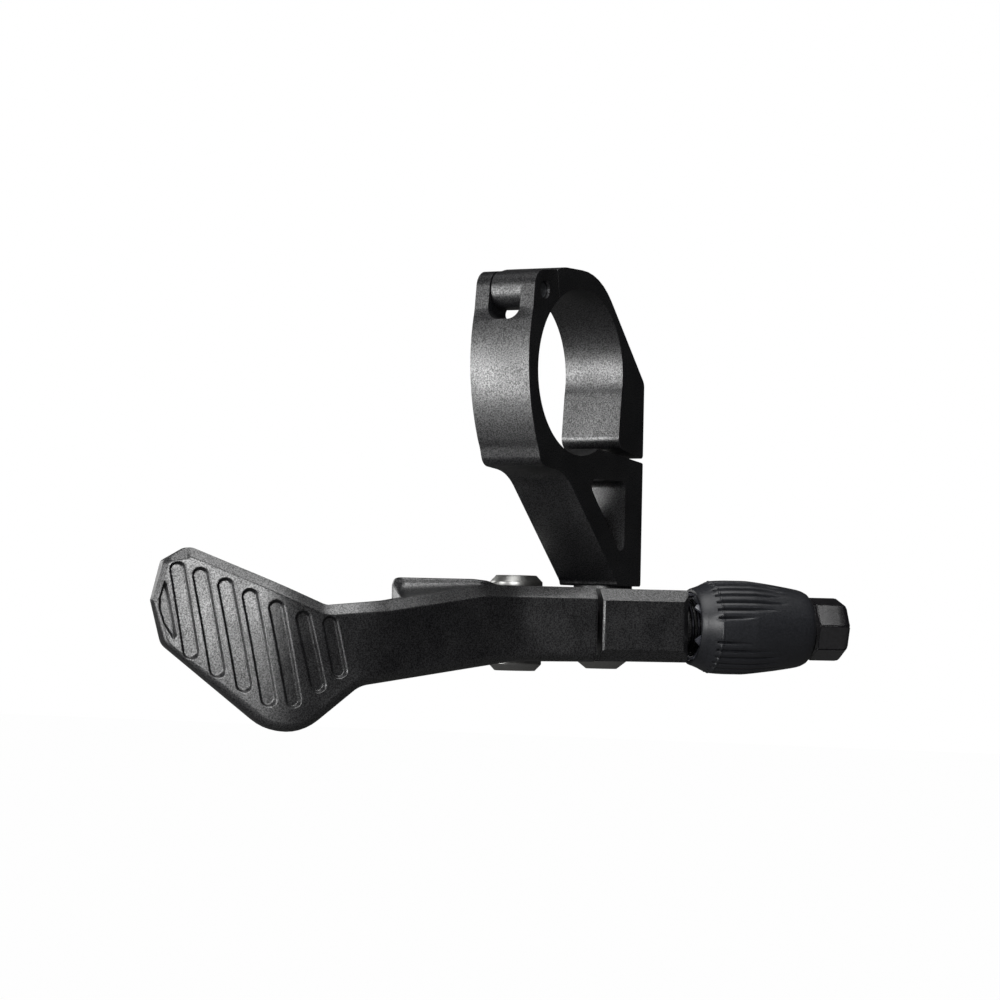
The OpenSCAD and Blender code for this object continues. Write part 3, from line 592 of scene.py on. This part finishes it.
# Adjuster barrel: turned from aluminium and anodised, with a thread into the
# body's nose and a socket for the cable housing. Its free end has eight flats
# for the fingers, with a fine slot where they meet.
cable_line_z = -33.5
flats_start, flats_angle, flats_pitch = 28.8, 28.5, 45
slot_depth = 0.16
barrel_profile = [
    (4.6, 1), (4.6, 2.05), (5, 2.45), (18, 2.45), (18, 3.9), (28.25, 3.9),
    (28.25, 4.15), (28.4, 4.3), (28.88, 4.32), (28.95, 4.4), (29.3, 4.4),
    (30.5, 4.4), (31.7, 4.4), (32.6, 4.4), (32.95, 4.33), (33.25, 4.1),
    (33.45, 3.8), (33.5, 3.5), (33.5, 2.75), (33.3, 2.5), (24, 2.5), (24, 1),
]
# smoother than the blasted pieces, so that its flats shine or go black
barrel_black = anodised("black anodised, turned", "#0a090c", "#121015", (0.22, 0.31), 0.4, 0.002, 0.85)


def turned(name, profile, cut_at, finish, sides, crease):
    # a closed profile of [along, radius] revolved about the cable line, with
    # cut_at giving how deep it is cut at an angle, measured up from the front
    angles = np.radians(np.arange(sides) * 360 / sides)
    vertices = []
    for along, r in profile:
        radius = r - cut_at(np.degrees(angles), along, r)
        height = cable_line_z + radius * np.sin(angles)
        vertices.extend(zip(np.full(sides, along), -radius * np.cos(angles), height))
    count = len(profile)
    faces = []
    for i in range(count):
        for k in range(sides):
            ahead, beside = (i + 1) % count, (k + 1) % sides
            faces.append((i * sides + k, ahead * sides + k, ahead * sides + beside, i * sides + beside))
    return make_piece(name, vertices, faces, finish, "adjuster", crease)


def barrel_cuts(angle, along, r):
    if along < flats_start or r < 3:
        return np.zeros(len(angle))
    half = flats_pitch / 2
    off = (angle - flats_angle + half) % flats_pitch - half
    flat = r - r * math.cos(math.radians(half)) / np.cos(np.radians(off))
    return flat + slot_depth * eased((np.abs(off) - 20.6) / 0.9)


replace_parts(turned("barrel_turned", barrel_profile, barrel_cuts, barrel_black, 360, 25), "adjuster_barrel")

# Click ring: turned from aluminium and anodised. It slides on the nose behind
# the sleeve, is pressed against it by a spring, and clicks as the barrel turns.
# Six pointed teeth stand on the body's side.
ring_back, ring_front, tooth = 11.8, 13.4, 1.2
# a grey that reads between the black body and the steel
ring_dark = anodised("dark anodised ring", "#3a3b42", "#5a5b63", (0.31, 0.4), 0.2)


def toothed_ring():
    vertices = []
    for angle in range(0, 360, 2):
        off = (angle - 35 + 30) % 60 - 30
        edge = ring_back - tooth * max(0, 1 - abs(off) / 14)
        cos, sin = math.cos(math.radians(angle)), math.sin(math.radians(angle))
        section = [
            (ring_back, 3.5), (ring_back, 4.2), (edge, 4.25),
            (edge, 4.6), (ring_front, 4.6), (ring_front, 3.5),
        ]
        vertices.extend((along, -r * cos, cable_line_z + r * sin) for along, r in section)
    count = len(vertices)
    faces = [(i + j, i + (j + 1) % 6, (i + 6 + (j + 1) % 6) % count, (i + 6 + j) % count)
             for i in range(0, count, 6) for j in range(6)]
    return vertices, faces


ring_body = nodes["detent_ring"]["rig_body"]
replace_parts(make_piece("toothed_ring", *toothed_ring(), ring_dark, ring_body, 20), "detent_ring")

# Grip sleeve: moulded rubber, pushed onto the barrel and turned with it by hand.
# Three groups of ribs run round it, with smooth panels between them.
group_angle, group_pitch, rib_pitch = 56, 120, 11
rib_ends = [(0, 24), (22, 23.7), (33, 21.8), (44, 18.6), (49, 17)]
sleeve_r = 6.45
# a satin black that shines softly along the panels
grip_rubber = moulded("satin moulded rubber", "#1d1e21", "#28292d", (0.35, 0.45), 0.2, 0.01)


def grip_cuts(angle, along, r):
    # ribs like saw teeth, which run out where the sleeve tapers
    if r < 5 or along > 26.5:
        return np.zeros(len(angle))
    off_group = (angle - group_angle + group_pitch / 2) % group_pitch - group_pitch / 2
    off_rib = np.abs((off_group + rib_pitch / 2) % rib_pitch - rib_pitch / 2)
    fade = eased((along - 13.4) / 0.4) * np.clip((value_at(rib_ends, np.abs(off_group)) - along) / 4, 0, 1)
    line = 0.42 * np.clip(1 - off_rib / 2.2, 0, 1)
    land = 0.14 * (1 - off_rib / (rib_pitch / 2))
    return np.where(np.abs(off_group) < 49, (line + land) * fade, 0)


sleeve_profile = [
    (11.3, 4.75), (11.32, 5.1), (11.5, 5.25), (12.1, 5.45), (12.8, 5.72), (13.3, 5.98),
    (13.7, 6.18), (13.85, 6.24), (13.92, 6.33), (14.12, 6.36), (14.2, 6.32),
]
sleeve_profile += [(s, sleeve_r - 0.15 * ((s - 17) / 3) ** 2 * (s < 17)) for s in np.arange(14.4, 19, 0.5)]
sleeve_profile += [(s, sleeve_r - 1.05 * ((s - 18.9) / 7.7) ** 1.25) for s in np.arange(19.1, 26.6, 0.5)]
sleeve_profile += [(26.8, 5.35), (27.3, 5.2), (27.8, 4.95), (28.1, 4.6), (28.2, 4.3)]
# its bore sits on the barrel, and is open for the ring and the nose
sleeve_profile += [(28.2, 3.92), (17.8, 3.92), (17.8, 3.65), (13.5, 3.65), (13.5, 4.7), (11.6, 4.65)]
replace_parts(turned("grip_sleeve", sleeve_profile, grip_cuts, grip_rubber, 540, 30), "adjuster_sleeve")

# Seal: a moulded rubber ring in a groove of the barrel, which keeps water out of
# the thread. A plain dark rubber.
seal_rubber = moulded("seal rubber", "#0a0a0b", "#111112", (0.4, 0.5), 0.2, 0.003)
repaint("adjuster_oring", seal_rubber)

write_size()
